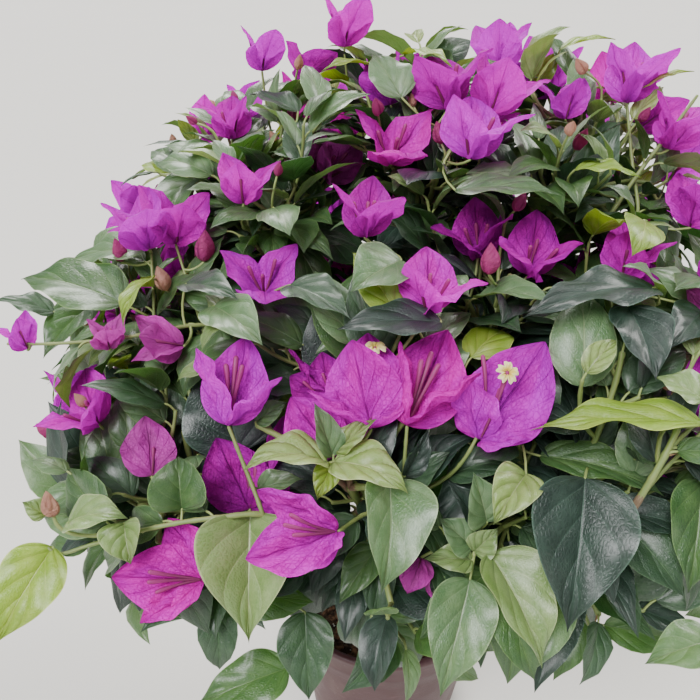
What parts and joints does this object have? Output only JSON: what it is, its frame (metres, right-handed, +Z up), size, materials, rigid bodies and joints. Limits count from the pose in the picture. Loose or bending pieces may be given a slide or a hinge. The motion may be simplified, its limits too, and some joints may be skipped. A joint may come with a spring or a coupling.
{
  "type": "flowering potted shrub",
  "caption": "Bushy bougainvillea shrub in a round nursery pot: short trunk, arching boughs and leafy twigs that end in magenta papery bracts.",
  "frame": {"origin": "middle of the pot's flat underside, on the surface that the pot stands on", "axes": "+Z up along the pot's axis, -Y towards the front that the picture shows, +X to the right seen from the front"},
  "size_m": [0.482, 0.4197, 0.5578],
  "materials": {
    "pot": "satin",
    "potting_mix": "rough",
    "bark": "rough",
    "leaf": "waxy",
    "young_leaf": "waxy",
    "green_stem": "satin",
    "bract": "papery",
    "flower": "satin"
  },
  "bodies": {
    "root": {"pot": "pot", "potting_mix": "potting_mix", "trunk": "bark", "bough_front_left": "bark", "bough_front_middle": "bark", "bough_front_right": "bark", "bough_left": "bark", "bough_right": "bark", "bough_back_left": "bark", "bough_back_middle": "bark", "bough_back_right": "bark", "bough_top_left": "bark", "bough_top_middle": "bark", "bough_top_right": "bark", "bough_heart": "bark", "foliage_front_left": "leaf", "foliage_front_middle": "leaf", "foliage_front_right": "leaf", "foliage_left": "leaf", "foliage_right": "leaf", "foliage_back_left": "leaf", "foliage_back_middle": "leaf", "foliage_back_right": "leaf", "foliage_top_left": "leaf", "foliage_top_middle": "leaf", "foliage_top_right": "leaf", "foliage_heart": "leaf"}
  },
  "joints": []
}
